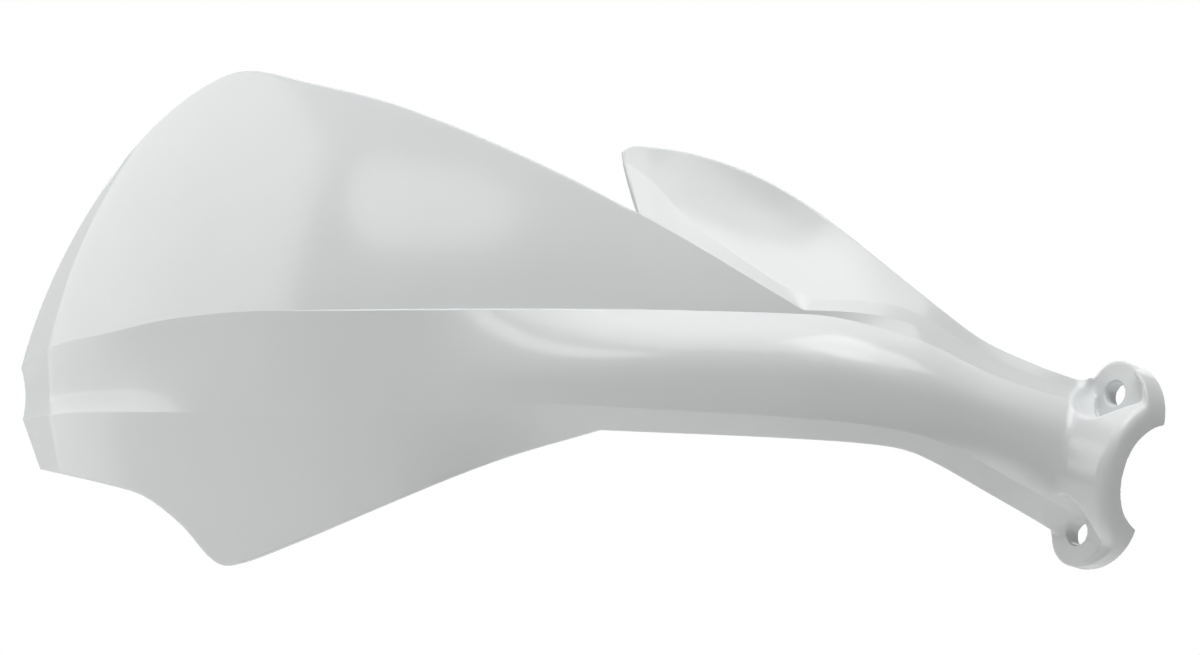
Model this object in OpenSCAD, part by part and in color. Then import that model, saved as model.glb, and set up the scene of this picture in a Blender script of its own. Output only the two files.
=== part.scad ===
// Hand guard for the right side of a motorcycle handlebar.
// One moulding: shield, hollow arm, fin and the front half of the bar clamp.
// Millimetres. The origin is on the bar's axis, midway between the bolts.
// +X points inboard, +Z up, -Y forwards, away from the rider.

/* [Bar clamp] */
// Diameter of the bar that the saddle sits on
bar_d = 28.6; // [24:0.1:31]
// Width of the clamp along the bar
clamp_w = 29; // [25:0.5:34]
// Wall in front of the bar
clamp_wall = 7.1; // [6:0.1:9]
// Distance between the two bolt centres
bolt_spacing = 37.4; // [35:0.1:44]
// Diameter of the bolt holes
bolt_d = 6.5; // [5.5:0.1:8.5]
// Lug from a bolt's centre to the end of the clamp
lug_end = 8.9; // [8:0.1:11]
// Radius of the lugs on the arm's side
lug_side = 8.2; // [7.4:0.1:8.8]
// Thickness of the lugs under the bolt heads
lug_t = 5.3; // [4:0.1:7]
// Height of the rim beside the upper bolt's seat
lug_rim = 2.5; // [1.5:0.1:3.5]
// Distance of the split face from the bar's centre
split = 3; // [1.5:0.1:5]
// Diameter of the upper bolt's seat
upper_seat_d = 15.2; // [14:0.1:17]
// Diameter of the lower bolt's seat
lower_seat_d = 17; // [14:0.1:18]
// Reach of the upper seat's pocket towards the inboard end
pocket_reach = 10.6; // [9:0.1:11.5]
// Clearance round the bar outboard of the clamp
bar_relief = 2; // [1.5:0.1:3]
// Radius of the front edges of the clamp
clamp_edge_r = 3.5; // [1:0.1:4.5]
// Angle between the bar and the guard's front, seen from above
clamp_yaw = 37.3; // [30:0.1:44]
// Tilt of the clamp, seen from the front
clamp_roll = 15.25; // [8:0.05:22]

/* [Shield] */
// Bar axis to the outer end of the shield
reach = 284.2; // [270:0.1:300]
// Bar axis to the highest point of the shield
peak_x = 225.4; // [216:0.1:232]
// Height of the shield's highest point
peak_h = 103.6; // [90:0.1:115]
// Height of the upper crease along the shield
crease_h = 40.8; // [36:0.1:46]
// Height of the upper crease at the outer end
crease_end_h = 25.8; // [22:0.1:30]
// Height of the lower crease at the outer end
lower_crease_h = 14; // [10:0.1:18]
// Bar axis to the lowest point of the shield
low_x = 230; // [222:0.1:238]
// Depth of the lowest point below the bar's axis
low_drop = 25.5; // [18:0.1:32]
// Height of the outer bottom corner below the bar's axis
corner_drop = 0.5; // [0:0.1:6]
// Bar axis to the point where the upper part runs out into the arm
tip_x = 80.4; // [74:0.1:90]
// Lean of the upper part just above the crease, as a slope
blade_lean = 0.18; // [0.05:0.01:0.3]
// How far the upper part bows back at its highest point
blade_bow = 11; // [4:0.1:16]
// How far the outer edge of the upper part bows outboard
end_bulge = 3.1; // [0:0.1:5]
// How far the lower crease stands behind the upper one
band_lean = 1.5; // [0:0.1:3]
// Depth of the scoop between the creases at the outer end
scoop = 2; // [0:0.1:3]
// Width of the turned-back edge at the outer end
end_turn_w = 7.5; // [5:0.1:10]
// Extra slope of the turned-back edge
end_turn = 0.5; // [0.1:0.05:0.8]

/* [Depth] */
// How far the outer end sits behind the bar's axis
sweep_end = 76; // [60:0.5:90]
// How far the arm stands in front of the bar's axis
arm_front = 36; // [30:0.5:44]
// Front of the clamp's middle from the bar's axis
root_front = 16; // [14:0.1:18]

/* [Arm] */
// Bar axis to the point where the arm's bottom edge starts
arm_x = 133.6; // [126:0.1:142]
// Height of the arm's bottom edge at its start
arm_low_h = 9.5; // [6:0.1:13]
// Bar axis to the bend at the foot of the arm
bend_x = 50; // [46:0.5:54]
// Drop of the arm's bottom edge from its start to the bar
root_drop = 34; // [30:0.5:38]
// Drop of the arm's upper line from the shield's tip to the bar
crease_drop = 27; // [24:0.5:30]
// Height of the lower soft crease of the arm
strip_h = 16; // [14:0.1:19]
// Depth of the arm's round front above that crease
arm_round = 12; // [8:0.1:15]
// Slope of the strip along the arm's bottom edge
strip_slope = 1; // [0.5:0.05:1.4]

/* [Fin] */
// Bar axis to the foot of the fin's free edge
fin_x = 123.4; // [118:0.1:128]
// Height of the fin's highest point
fin_h = 84; // [80:0.1:92]
// Drop of the fin's top line from its highest point to the bar
fin_drop = 63.5; // [58:0.5:68]
// Slope of the fin at its foot
fin_lean = 0.7; // [0.4:0.05:0.9]
// How far the fin's free edge leans outboard
fin_rake = 4.6; // [2:0.1:7]
// Slope of the shelf behind the upper part's edge
shelf_slope = 1.2; // [0.8:0.05:1.5]

/* [Walls and ribs] */
// Wall thickness of the moulding
wall = 2.8; // [2.2:0.1:3.6]
// Wall thickness where the arm meets the clamp
root_wall = 9; // [6:0.1:11]
// Thickness of the ribs inside the arm
rib_t = 2; // [1.5:0.1:3]
// Number of cross ribs inside the arm
rib_count = 5; // [2:1:7]
// Depth of the web along the arm, from the arm's front
web_depth = 14; // [8:0.5:16]

/* [Hidden] */
$fn = 64;

bar_r = bar_d / 2;
drum_r = bar_r + clamp_wall;
bolt_h = bolt_spacing / 2;
lug_h = bolt_h + lug_end;
seat_k = split + lug_t;
rim_k = seat_k + lug_rim;
flank_h = 0.43 * bolt_h;

// Stations along the guard
x_out = -reach;
x_turn = -reach + end_turn_w;
x_fin = -fin_x;
x_tip = -tip_x;
x_root = -0.1 * bend_x;

// Rows from the bottom edge up: skirt, band, upper part, shelf, fin
rows_skirt = 4;
rows_band = 8;
rows_blade = 7;
rows_shelf = 2;
rows_fin = 5;
j_low = rows_skirt;
j_crease = j_low + rows_band;
j_lip = j_crease + rows_blade;
j_fold = j_lip + rows_shelf;
j_top = j_fold + rows_fin;

// Number of stations in each stretch
cols_turn = 2;
cols_shield = 30;
cols_fin = 9;
cols_arm = 14;
i_fin = cols_turn + cols_shield;
i_end = i_fin + cols_fin + cols_arm;

function mix(a, b, t) = a + (b - a) * t;
function clip(t) = min(1, max(0, t));
function ease(a, b, x) = let (t = clip((x - a) / (b - a))) t * t * (3 - 2 * t);
function fade(a, b, x, n) = pow(1 - clip((x - a) / (b - a)), n);

// Smooth curve through [x, y] points, straight on beyond its ends
function tangent(p, k) =
    let (a = max(0, k - 1), b = min(len(p) - 1, k + 1))
    (p[b][1] - p[a][1]) / (p[b][0] - p[a][0]);
function curve(p, x) =
    let (
        n = len(p),
        k = max([for (m = [0 : n - 2]) if (m == 0 || x >= p[m][0]) m]),
        h = p[k + 1][0] - p[k][0],
        t = (x - p[k][0]) / h
    )
    t < 0 ? p[0][1] + tangent(p, 0) * (x - p[0][0]) :
    t > 1 ? p[n - 1][1] + tangent(p, n - 1) * (x - p[n - 1][0]) :
    (2 * t * t * t - 3 * t * t + 1) * p[k][1]
    + (t * t * t - 2 * t * t + t) * h * tangent(p, k)
    + (3 * t * t - 2 * t * t * t) * p[k + 1][1]
    + (t * t * t - t * t) * h * tangent(p, k + 1);

// Edges and creases of the outline, as [x, height]
blade_h = peak_h - crease_h;
shoulder_x = mix(x_out, -peak_x, 0.44);
corner_x = x_out + 0.67 * end_turn_w;
top_pts = [
    [shoulder_x, crease_h + 0.61 * blade_h],
    [mix(shoulder_x, -peak_x, 0.33), crease_h + 0.8 * blade_h],
    [mix(shoulder_x, -peak_x, 0.7), crease_h + 0.945 * blade_h],
    [-peak_x, peak_h],
    [mix(-peak_x, x_tip, 0.1), crease_h + 0.957 * blade_h],
    [mix(-peak_x, x_tip, 0.28), crease_h + 0.85 * blade_h],
    [mix(-peak_x, x_tip, 0.53), crease_h + 0.61 * blade_h],
    [mix(-peak_x, x_tip, 0.76), crease_h + 0.332 * blade_h],
    [x_tip, crease_h]
];
crease_pts = [
    [x_out, crease_end_h],
    [x_turn, mix(crease_end_h, crease_h, 0.36)],
    [mix(x_out, -peak_x, 0.39), mix(crease_end_h, crease_h, 0.62)],
    [mix(x_out, -peak_x, 0.68), mix(crease_end_h, crease_h, 0.87)],
    [mix(x_out, -peak_x, 1.1), crease_h],
    [x_tip, crease_h - 0.03 * crease_drop],
    [0.65 * x_tip, crease_h - 0.26 * crease_drop],
    [0.38 * x_tip, crease_h - 0.63 * crease_drop],
    [0.15 * x_tip, crease_h - 0.85 * crease_drop],
    [0, crease_h - crease_drop]
];
low_crease_pts = [
    [x_out, 0.9 * lower_crease_h],
    [mix(x_out, -peak_x, 0.26), 1.035 * lower_crease_h],
    [mix(x_out, -peak_x, 1.26), lower_crease_h],
    [mix(-low_x, -arm_x, 0.73), 1.05 * strip_h],
    [-arm_x, strip_h],
    [mix(-arm_x, -bend_x, 0.62), strip_h - 0.09 * root_drop],
    [mix(-arm_x, -bend_x, 0.92), strip_h - 0.176 * root_drop],
    [-0.84 * bend_x, strip_h - 0.31 * root_drop],
    [-0.6 * bend_x, strip_h - 0.5 * root_drop],
    [-0.24 * bend_x, strip_h - 0.79 * root_drop],
    [0, strip_h - 0.97 * root_drop]
];
skirt_pts = [
    [corner_x, -corner_drop],
    [mix(corner_x, -low_x, 0.34), -corner_drop - 0.15 * low_drop],
    [mix(corner_x, -low_x, 0.55), -corner_drop - 0.28 * low_drop],
    [mix(corner_x, -low_x, 0.75), -corner_drop - 0.58 * low_drop],
    [mix(corner_x, -low_x, 0.9), -0.93 * low_drop],
    [-low_x, -low_drop],
    [mix(-low_x, -arm_x, 0.15), mix(-low_drop, arm_low_h, 0.14)],
    [mix(-low_x, -arm_x, 0.46), mix(-low_drop, arm_low_h, 0.495)],
    [mix(-low_x, -arm_x, 0.73), mix(-low_drop, arm_low_h, 0.78)],
    [-arm_x, arm_low_h]
];
arm_low_pts = [
    [-arm_x, arm_low_h],
    [mix(-arm_x, -bend_x, 0.56), arm_low_h - 0.06 * root_drop],
    [mix(-arm_x, -bend_x, 0.88), arm_low_h - 0.12 * root_drop],
    [-bend_x, arm_low_h - 0.2 * root_drop],
    [-0.58 * bend_x, arm_low_h - 0.545 * root_drop],
    [-0.3 * bend_x, arm_low_h - 0.78 * root_drop],
    [0, arm_low_h - root_drop]
];
fold_top = fin_h - 0.057 * fin_drop;
fold_pts = [
    [x_fin - fin_rake, fold_top],
    [mix(x_fin, x_tip, 0.1), mix(fold_top, crease_h + 2.4, 0.18)],
    [mix(x_fin, x_tip, 0.3), mix(fold_top, crease_h + 2.4, 0.44)],
    [mix(x_fin, x_tip, 0.67), mix(fold_top, crease_h + 2.4, 0.737)],
    [x_tip, crease_h + 2.4]
];
fin_pts = [
    [x_fin - fin_rake, fin_h - 0.024 * fin_drop],
    [x_fin - 0.56 * fin_rake, fin_h - 0.003 * fin_drop],
    [x_fin + 0.1 * fin_rake, fin_h],
    [mix(x_fin, x_tip, 0.33), fin_h - 0.032 * fin_drop],
    [mix(x_fin, x_tip, 0.73), fin_h - 0.126 * fin_drop],
    [0.96 * x_tip, fin_h - 0.265 * fin_drop],
    [0.8 * x_tip, fin_h - 0.425 * fin_drop],
    [0.555 * x_tip, fin_h - 0.672 * fin_drop],
    [0.42 * x_tip, fin_h - 0.797 * fin_drop],
    [0.256 * x_tip, fin_h - 0.894 * fin_drop],
    [0.124 * x_tip, fin_h - 0.953 * fin_drop],
    [0, fin_h - fin_drop]
];

// Front line of the guard seen from above, as [x, y]
arm_start_y = -0.52 * arm_front;
arm_start_x = mix(-reach, -arm_x, 0.891);
spine_pts = [
    [x_out, sweep_end],
    [mix(-reach, -arm_x, 0.093), mix(sweep_end, arm_start_y, 0.185)],
    [mix(-reach, -arm_x, 0.226), mix(sweep_end, arm_start_y, 0.39)],
    [mix(-reach, -arm_x, 0.392), mix(sweep_end, arm_start_y, 0.59)],
    [mix(-reach, -arm_x, 0.558), mix(sweep_end, arm_start_y, 0.75)],
    [mix(-reach, -arm_x, 0.724), mix(sweep_end, arm_start_y, 0.88)],
    [arm_start_x, arm_start_y],
    [mix(-arm_x, x_tip, 0.16), -0.77 * arm_front],
    [mix(-arm_x, x_tip, 0.63), -0.94 * arm_front],
    [x_tip, -arm_front],
    [0.684 * x_tip, -0.9 * arm_front],
    [0.41 * x_tip, mix(-arm_front, -root_front, 0.6)],
    [0.15 * x_tip, -root_front],
    [0, -0.69 * root_front]
];

function spine(x) = curve(spine_pts, x);
function z_low(x) = x < -arm_x ? curve(skirt_pts, x) : curve(arm_low_pts, x);
function z_low_crease(x) = curve(low_crease_pts, x);
function z_crease(x) = curve(crease_pts, x);

// Share of the arm's half-round form at a station, against the shield's form
function armness(x) = ease(mix(-low_x, -arm_x, 0.07), mix(-low_x, -arm_x, 1.05), x);
function round_mid(x) = mix(0.28, 0.5, ease(-1.2 * bend_x, -0.5 * bend_x, x));
function round_depth(x) =
    arm_round * armness(x) * mix(1, 0.55, ease(-1.4 * bend_x, -0.2 * bend_x, x));

// Height of the upper part's edge, of the fold and of the fin's top
function past_tip(x) = clip((x - x_tip) / (0.56 * tip_x));
function z_lip(x) =
    x < x_tip ? max(curve(top_pts, x), z_crease(x) + 1) :
    mix(z_crease(x) + 1, mix(z_crease(x), curve(fin_pts, x), 0.35), past_tip(x));
function z_fold(x) =
    x < x_tip ? max(curve(fold_pts, x), z_lip(x) + 1.4) :
    mix(z_lip(x) + 2.2, mix(z_crease(x), curve(fin_pts, x), 0.55), past_tip(x));
function z_fin(x) = curve(fin_pts, x);

// Depth behind the spine at the rows that bound the strips
function y_low_crease(x) =
    mix(band_lean, round_depth(x) * pow(round_mid(x) / (1 - round_mid(x)), 2), armness(x));
function y_low(x) =
    let (m = ease(mix(-low_x, -arm_x, 0.43), -arm_x, x))
    y_low_crease(x) + mix(0.17, strip_slope, m) * (z_low_crease(x) - z_low(x));
function y_crease(x) = round_depth(x);
function y_blade(x, h) =
    y_crease(x) + blade_lean * h + blade_bow * pow(h / blade_h, 2);
function y_lip(x) =
    mix(y_blade(x, z_lip(x) - z_crease(x)),
        y_crease(x) + 0.95 * (z_lip(x) - z_crease(x)), past_tip(x));
function y_fold(x) =
    y_lip(x) + mix(shelf_slope, 0.85, past_tip(x)) * (z_fold(x) - z_lip(x));
function y_fin(x, h) = y_fold(x) + fin_lean * h * (1 - 0.64 * h / fin_drop);

// The edge at the outer end turns back; e is the distance from that end
function turned(e) = end_turn * max(0, end_turn_w - e);

// Stations
stations = [
    for (i = [0 : cols_turn - 1]) mix(x_out, x_turn, i / cols_turn),
    for (i = [0 : cols_shield - 1])
        let (t = i / cols_shield) mix(x_turn, x_fin, 0.35 * t * t + 0.65 * t),
    for (i = [0 : cols_fin - 1]) mix(x_fin, x_tip, i / cols_fin),
    for (i = [0 : cols_arm]) mix(x_tip, x_root, i / cols_arm)
];

// Share of the outer end's own form at a station, over a stretch of so many end widths
function near_end(x, widths, n) = fade(x_out, x_out + widths * end_turn_w, x, n);

// One point of the front face, for station x and share s of its strip
function low_crease_x(x) = x + 0.05 * end_turn_w * near_end(x, 2.7, 2);
function skirt_at(x, s) =
    let (
        xb = x + (corner_x - x_out) * near_end(x, 5.3, 2),
        xl = low_crease_x(x),
        xx = mix(xb, xl, s),
        z = mix(z_low(xb), z_low_crease(xl), s),
        y = mix(y_low(xb), y_low_crease(xl), s)
    )
    [xx, spine(xx) + y + turned(x - x_out), z];
function band_at(x, s) =
    let (
        xl = low_crease_x(x),
        xx = mix(xl, x, s) + 0.48 * end_turn_w * s * (1 - s) * near_end(x, 2, 1),
        z = mix(z_low_crease(xl), z_crease(x), s),
        m = armness(x),
        w = round_mid(x),
        shield_y = mix(band_lean, 0, s) + scoop * 6.75 * s * (1 - s) * (1 - s),
        arm_y = round_depth(x) * pow((s - w) / (1 - w), 2)
    )
    [xx, spine(xx) + mix(shield_y, arm_y, m) + turned(x - x_out), z];
function blade_at(x, s) =
    let (
        xt = x + (shoulder_x - x_out) * near_end(x, 16, 3.2),
        bulge = -end_bulge * 4 * s * (1 - s) * near_end(x, 12, 2),
        xx = mix(x, xt, s) + bulge,
        z = mix(z_crease(x), z_lip(xt), s),
        y = mix(
            y_blade(xx, z - z_crease(x)),
            mix(y_crease(x), y_lip(x), s),
            ease(1.15 * x_tip, x_tip, x)
        )
    )
    [xx, spine(xx) + y + turned(x - x_out) * (1 - s), z];
function fin_back(x) = fin_rake * fade(x_fin, mix(x_fin, x_tip, 0.6), x, 2);
function shelf_at(x, s) =
    let (
        xg = x - 0.9 * fin_back(x),
        xx = mix(x, xg, s),
        z = mix(z_lip(x), z_fold(xg), s)
    )
    [xx, spine(xx) + mix(y_lip(x), y_fold(x), s), z];
function fin_at(x, s) =
    let (
        xg = x - 0.9 * fin_back(x),
        xf = x - fin_back(x),
        z0 = z_fold(xg),
        z = mix(z0, z_fin(xf), s)
    )
    [mix(xg, xf, s), spine(mix(xg, xf, s)) + y_fin(x, z - z0), z];
function front_at(x, j) =
    j <= j_low ? skirt_at(x, j / rows_skirt) :
    j <= j_crease ? band_at(x, (j - j_low) / rows_band) :
    j <= j_lip ? blade_at(x, (j - j_crease) / rows_blade) :
    j <= j_fold ? shelf_at(x, (j - j_lip) / rows_shelf) :
    fin_at(x, (j - j_fold) / rows_fin);

front = [for (x = stations) [for (j = [0 : j_top]) front_at(x, j)]];

// Rows that exist at a station: the shelf and fin start at the fin's free edge
function last_row(i) = i < i_fin ? j_lip : j_top;

// Inward direction of the wall, averaged over neighbouring points
function inward(i, j) =
    let (
        top = last_row(i),
        i0 = i == i_fin && j > j_lip ? i : max(0, i - 1),
        i1 = min(i_end, i + 1),
        a = front[i1][j] - front[i0][j],
        b = front[i][min(top, j + 2)] - front[i][max(0, j - 2)],
        n = cross(b, a)
    )
    n / norm(n);
function wall_at(x) = mix(wall, root_wall, ease(-0.92 * bend_x, -0.28 * bend_x, x));
back = [for (i = [0 : i_end]) [for (j = [0 : j_top])
    j <= last_row(i) ? front[i][j] + wall_at(stations[i]) * inward(i, j) : front[i][j]]];

// Outline of the region of the grid that is skin, once round
rim = concat(
    [for (i = [0 : i_end - 1]) [i, 0]],
    [for (j = [0 : j_top - 1]) [i_end, j]],
    [for (i = [i_end : -1 : i_fin + 1]) [i, j_top]],
    [for (j = [j_top : -1 : j_lip + 1]) [i_fin, j]],
    [for (i = [i_fin : -1 : 1]) [i, j_lip]],
    [for (j = [j_lip : -1 : 1]) [0, j]]
);

function idx(i, j) = i * (j_top + 1) + j;
cells = [for (i = [0 : i_end - 1]) for (j = [0 : last_row(i) - 1]) [i, j]];
n_front = (i_end + 1) * (j_top + 1);

module skin() {
    polyhedron(
        points = concat([for (c = front) each c], [for (c = back) each c]),
        faces = concat(
            [for (c = cells) let (i = c[0], j = c[1])
                each [[idx(i, j), idx(i + 1, j + 1), idx(i + 1, j)],
                    [idx(i, j), idx(i, j + 1), idx(i + 1, j + 1)]]],
            [for (c = cells) let (i = c[0], j = c[1])
                each [[n_front + idx(i, j), n_front + idx(i + 1, j), n_front + idx(i + 1, j + 1)],
                    [n_front + idx(i, j), n_front + idx(i + 1, j + 1), n_front + idx(i, j + 1)]]],
            [for (k = [0 : len(rim) - 1])
                let (
                    p = rim[k],
                    q = rim[(k + 1) % len(rim)],
                    a = idx(p[0], p[1]),
                    b = idx(q[0], q[1])
                )
                each [[a, b, n_front + a], [b, n_front + b, n_front + a]]]
        )
    );
}

// Turns local axes (bar, bolt, line of bolts) into the guard's frame
module clamp_frame() {
    rotate([0, clamp_roll, 0])
        rotate([0, 0, -clamp_yaw])
            children();
}

// Profile of the drum round the bar, as [radius, along]
module drum_profile() {
    w = clamp_w / 2;
    r = clamp_edge_r;
    inner = 0.8 * bar_r;
    translate([inner, -w])
        square([drum_r - r - inner, clamp_w]);
    translate([inner, -w])
        square([drum_r - inner, clamp_w - r]);
    translate([drum_r - r, w - r])
        circle(r);
}

function arc(centre, r, a0, a1, n) =
    [for (k = [0 : n]) let (a = mix(a0, a1, k / n)) centre + r * [cos(a), sin(a)]];

// Outline of the clamp with both lugs, seen along the bolts
module lug_outline() {
    w = clamp_w / 2;
    // On the arm's side a straight flank runs at a tangent into the round end of a lug
    cy = lug_h - lug_side;
    a = atan2(cy - flank_h, w) + asin(lug_side / norm([w, cy - flank_h]));
    half = concat(
        arc([0, lug_h - w], w, 0, 90, 12),
        arc([0, cy], lug_side, 98, 90 + a, 6),
        [[-w, flank_h]]
    );
    n = len(half);
    polygon(concat(half, [for (k = [n - 1 : -1 : 0]) [half[k][0], -half[k][1]]]));
}

// Half clamp before its holes are cut; local x bar, y bolt, z line of bolts
module clamp_body() {
    intersection() {
        union() {
            rotate([0, 90, 0])
                rotate_extrude()
                    drum_profile();
            translate([-clamp_w / 2, -rim_k, 0])
                cube([clamp_w, rim_k, lug_h]);
            translate([-clamp_w / 2, -seat_k, -lug_h])
                cube([clamp_w, seat_k, lug_h]);
        }
        translate([0, -split, 0])
            rotate([90, 0, 0])
                linear_extrude(drum_r)
                    lug_outline();
    }
}

// Cross rib: closes the hollow of the arm behind the skin at station i
module cross_rib(i) {
    x = stations[i];
    // Outboard of the tip the rib stops at the crease
    j_rib = x < x_tip + 5 ? j_crease : j_fold + 2;
    inner = [for (j = [0 : j_rib]) [front[i][j][1] + 0.6 * wall, front[i][j][2]]];
    free_low = back[i][0];
    free_top = back[i][j_rib];
    translate([x - rib_t / 2, 0, 0])
        rotate([90, 0, 90])
            linear_extrude(rib_t)
                polygon(concat(
                    inner,
                    [[free_top[1] + 1, free_top[2]], [free_low[1] + 1, free_low[2] + 1]]
                ));
}

// Web along the middle of the arm's hollow, from station i0 to i1
module long_web(i0, i1) {
    points = [
        for (i = [i0 : i1])
            let (
                x = stations[i],
                t = (i - i0) / (i1 - i0),
                z = mix(z_low_crease(x), z_crease(x), round_mid(x)),
                y0 = spine(x) + 0.6 * wall,
                y1 = spine(x) + mix(wall + 1, web_depth, ease(0, 0.35, t))
            )
            each [
                [x, y0, z - rib_t / 2],
                [x, y0, z + rib_t / 2],
                [x, y1, z + rib_t / 2],
                [x, y1, z - rib_t / 2]
            ]
    ];
    n = i1 - i0;
    polyhedron(
        points = points,
        faces = concat(
            [[0, 2, 1], [0, 3, 2], [4 * n, 4 * n + 1, 4 * n + 2], [4 * n, 4 * n + 2, 4 * n + 3]],
            [for (k = [0 : n - 1]) for (m = [0 : 3])
                let (a = 4 * k + m, b = 4 * k + (m + 1) % 4)
                each [[a, b + 4, a + 4], [a, b, b + 4]]]
        )
    );
}

module ribs() {
    first = i_fin + cols_fin - 5;
    last = i_end - 3;
    for (k = [0 : rib_count - 1])
        cross_rib(round(mix(first, last, k / max(1, rib_count - 1))));
    long_web(i_fin + 1, i_end - 1);
}

module hand_guard() {
    color("whitesmoke")
        difference() {
            union() {
                skin();
                ribs();
                clamp_frame()
                    clamp_body();
            }
            clamp_frame()
                clamp_cuts();
        }
}

// Pocket of the upper seat: open at the top, with a corner towards the inboard end
module seat_pocket() {
    r = upper_seat_d / 2;
    polygon([
        [0, -r],
        [0.71 * r, -0.71 * r],
        [pocket_reach, 0],
        [0.89 * pocket_reach, 0.4 * lug_end],
        [0.72 * r, 0.72 * lug_end],
        [0.5 * r, 1.3 * lug_end],
        [-r, 1.3 * lug_end],
        [-r, 0]
    ]);
}

// Saddle, bolt holes and bolt seats
module clamp_cuts() {
    reach_out = 2 * drum_r;
    rotate([0, 90, 0])
        cylinder(h = 3 * clamp_w, r = bar_r, center = true);
    // Outboard of the clamp the arm opens out and keeps clear of the bar and its grip
    translate([0.8 - clamp_w / 2, 0, 0])
        rotate([0, -90, 0]) {
            cylinder(h = bar_relief + 1, r1 = bar_r - 1, r2 = bar_r + bar_relief);
            translate([0, 0, bar_relief + 1])
                cylinder(h = 2 * clamp_w, r = bar_r + bar_relief);
        }
    for (s = [-1, 1])
        translate([0, 0, s * bolt_h])
            rotate([90, 0, 0])
                cylinder(h = reach_out, d = bolt_d);
    translate([0, -seat_k, -bolt_h])
        rotate([90, 0, 0])
            cylinder(h = reach_out, d = lower_seat_d);
    translate([0, -seat_k, bolt_h])
        rotate([90, 0, 0]) {
            cylinder(h = reach_out, d = upper_seat_d);
            linear_extrude(reach_out)
                seat_pocket();
        }
    // Everything behind the split face
    translate([-2 * clamp_w, -split, -2 * lug_h])
        cube([4 * clamp_w, 2 * clamp_w, 4 * lug_h]);
}

hand_guard();
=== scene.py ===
"""Looks of the motorcycle hand guard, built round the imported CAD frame.

The moulding is drawn again with smooth surfaces and rounded edges in three closed pieces:
the shell with its fin, the foot of the arm with the half clamp, and the ribs behind the arm.
Lengths are in millimetres until a mesh is made, which is in metres.
"""

import math

import bpy
import numpy as np
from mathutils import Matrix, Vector


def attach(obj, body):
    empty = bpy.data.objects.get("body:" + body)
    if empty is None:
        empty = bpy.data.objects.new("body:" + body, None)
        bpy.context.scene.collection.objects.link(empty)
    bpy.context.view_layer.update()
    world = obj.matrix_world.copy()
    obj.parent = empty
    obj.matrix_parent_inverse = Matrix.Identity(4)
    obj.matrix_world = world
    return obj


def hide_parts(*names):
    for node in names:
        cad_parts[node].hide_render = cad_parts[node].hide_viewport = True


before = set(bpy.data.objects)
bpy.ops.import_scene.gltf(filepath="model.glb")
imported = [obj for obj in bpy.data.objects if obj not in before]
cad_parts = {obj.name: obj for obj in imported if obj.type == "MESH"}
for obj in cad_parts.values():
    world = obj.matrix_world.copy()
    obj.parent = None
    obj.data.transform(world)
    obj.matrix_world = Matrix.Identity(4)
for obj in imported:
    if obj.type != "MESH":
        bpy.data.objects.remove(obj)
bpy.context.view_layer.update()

# ---------------------------------------------------------------- sizes, as in the CAD part

BAR_R = 14.3
CLAMP_W = 29.0
DRUM_R = 21.4
BOLT_H = 18.7
BOLT_R = 3.25
LUG_H = 27.6
LUG_SIDE = 8.2
SEAT_K = 8.3
RIM_K = 10.8
SPLIT = 3.0
FLANK_H = 0.43 * BOLT_H
UPPER_SEAT_R = 7.6
LOWER_SEAT_R = 8.5
POCKET_REACH = 10.6
LUG_END = 8.9
BAR_RELIEF = 2.0
BAR_AXIS = np.array([0.767463, -0.605988, -0.209234])
BOLT_AXIS = np.array([0.584650, 0.795473, -0.159394])
LUG_AXIS = np.array([0.263031, 0.0, 0.964787])

REACH, PEAK_X, PEAK_H = 284.2, 225.4, 103.6
CREASE_H, CREASE_END_H, LOWER_CREASE_H = 40.8, 25.8, 14.0
LOW_X, LOW_DROP, CORNER_DROP = 230.0, 25.5, 0.5
BLADE_LEAN, BLADE_BOW, END_BULGE, BAND_LEAN, SCOOP = 0.18, 11.0, 3.1, 1.5, 2.0
END_TURN_W, END_TURN = 7.5, 0.5
SWEEP_END, ARM_FRONT, ROOT_FRONT = 76.0, 36.0, 16.0
ARM_X, ARM_LOW_H, BEND_X, ROOT_DROP, CREASE_DROP = 133.6, 9.5, 50.0, 34.0, 27.0
STRIP_H, ARM_ROUND, STRIP_SLOPE = 16.0, 12.0, 1.0
FIN_H, FIN_DROP, FIN_LEAN, FIN_RAKE, SHELF_SLOPE = 84.0, 63.5, 0.7, 4.6, 1.2
WALL, ROOT_WALL, RIB_T, RIB_COUNT, WEB_DEPTH = 2.8, 9.0, 2.0, 5, 14.0

# ---------------------------------------------------------------- sizes of the smooth surfaces

EDGE_R = 0.8           # rounding of the sheet's free edges
CLAMP_EDGE_R = 4.0     # rounding of the drum's inboard edge, a little more than in the CAD part
SCOOP_LEN = 48.0       # the scoop at the outer end fades out over this length
FIN_BLEND = 5.5        # reach of the smoothing of the fin near the shield's tip
WALL_BLEND = 3.2       # reach over which the wall's inward direction is averaged
# The smooth front bulges past the CAD part's flat facets, so all of it stands a little further back
SET_BACK = np.array([0.0, 0.06, 0.0])

X_OUT, X_TURN = -REACH, -REACH + END_TURN_W
X_FIN, X_TIP, X_ROOT = -123.4, -80.4, -0.1 * BEND_X
BLADE_H = PEAK_H - CREASE_H


def mix(a, b, t):
    return a + (b - a) * t


def clip(t):
    return np.clip(t, 0.0, 1.0)


def ease(a, b, x):
    t = clip((x - a) / (b - a))
    return t * t * (3 - 2 * t)


def fade(a, b, x, n):
    return (1 - clip((x - a) / (b - a))) ** n


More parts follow.
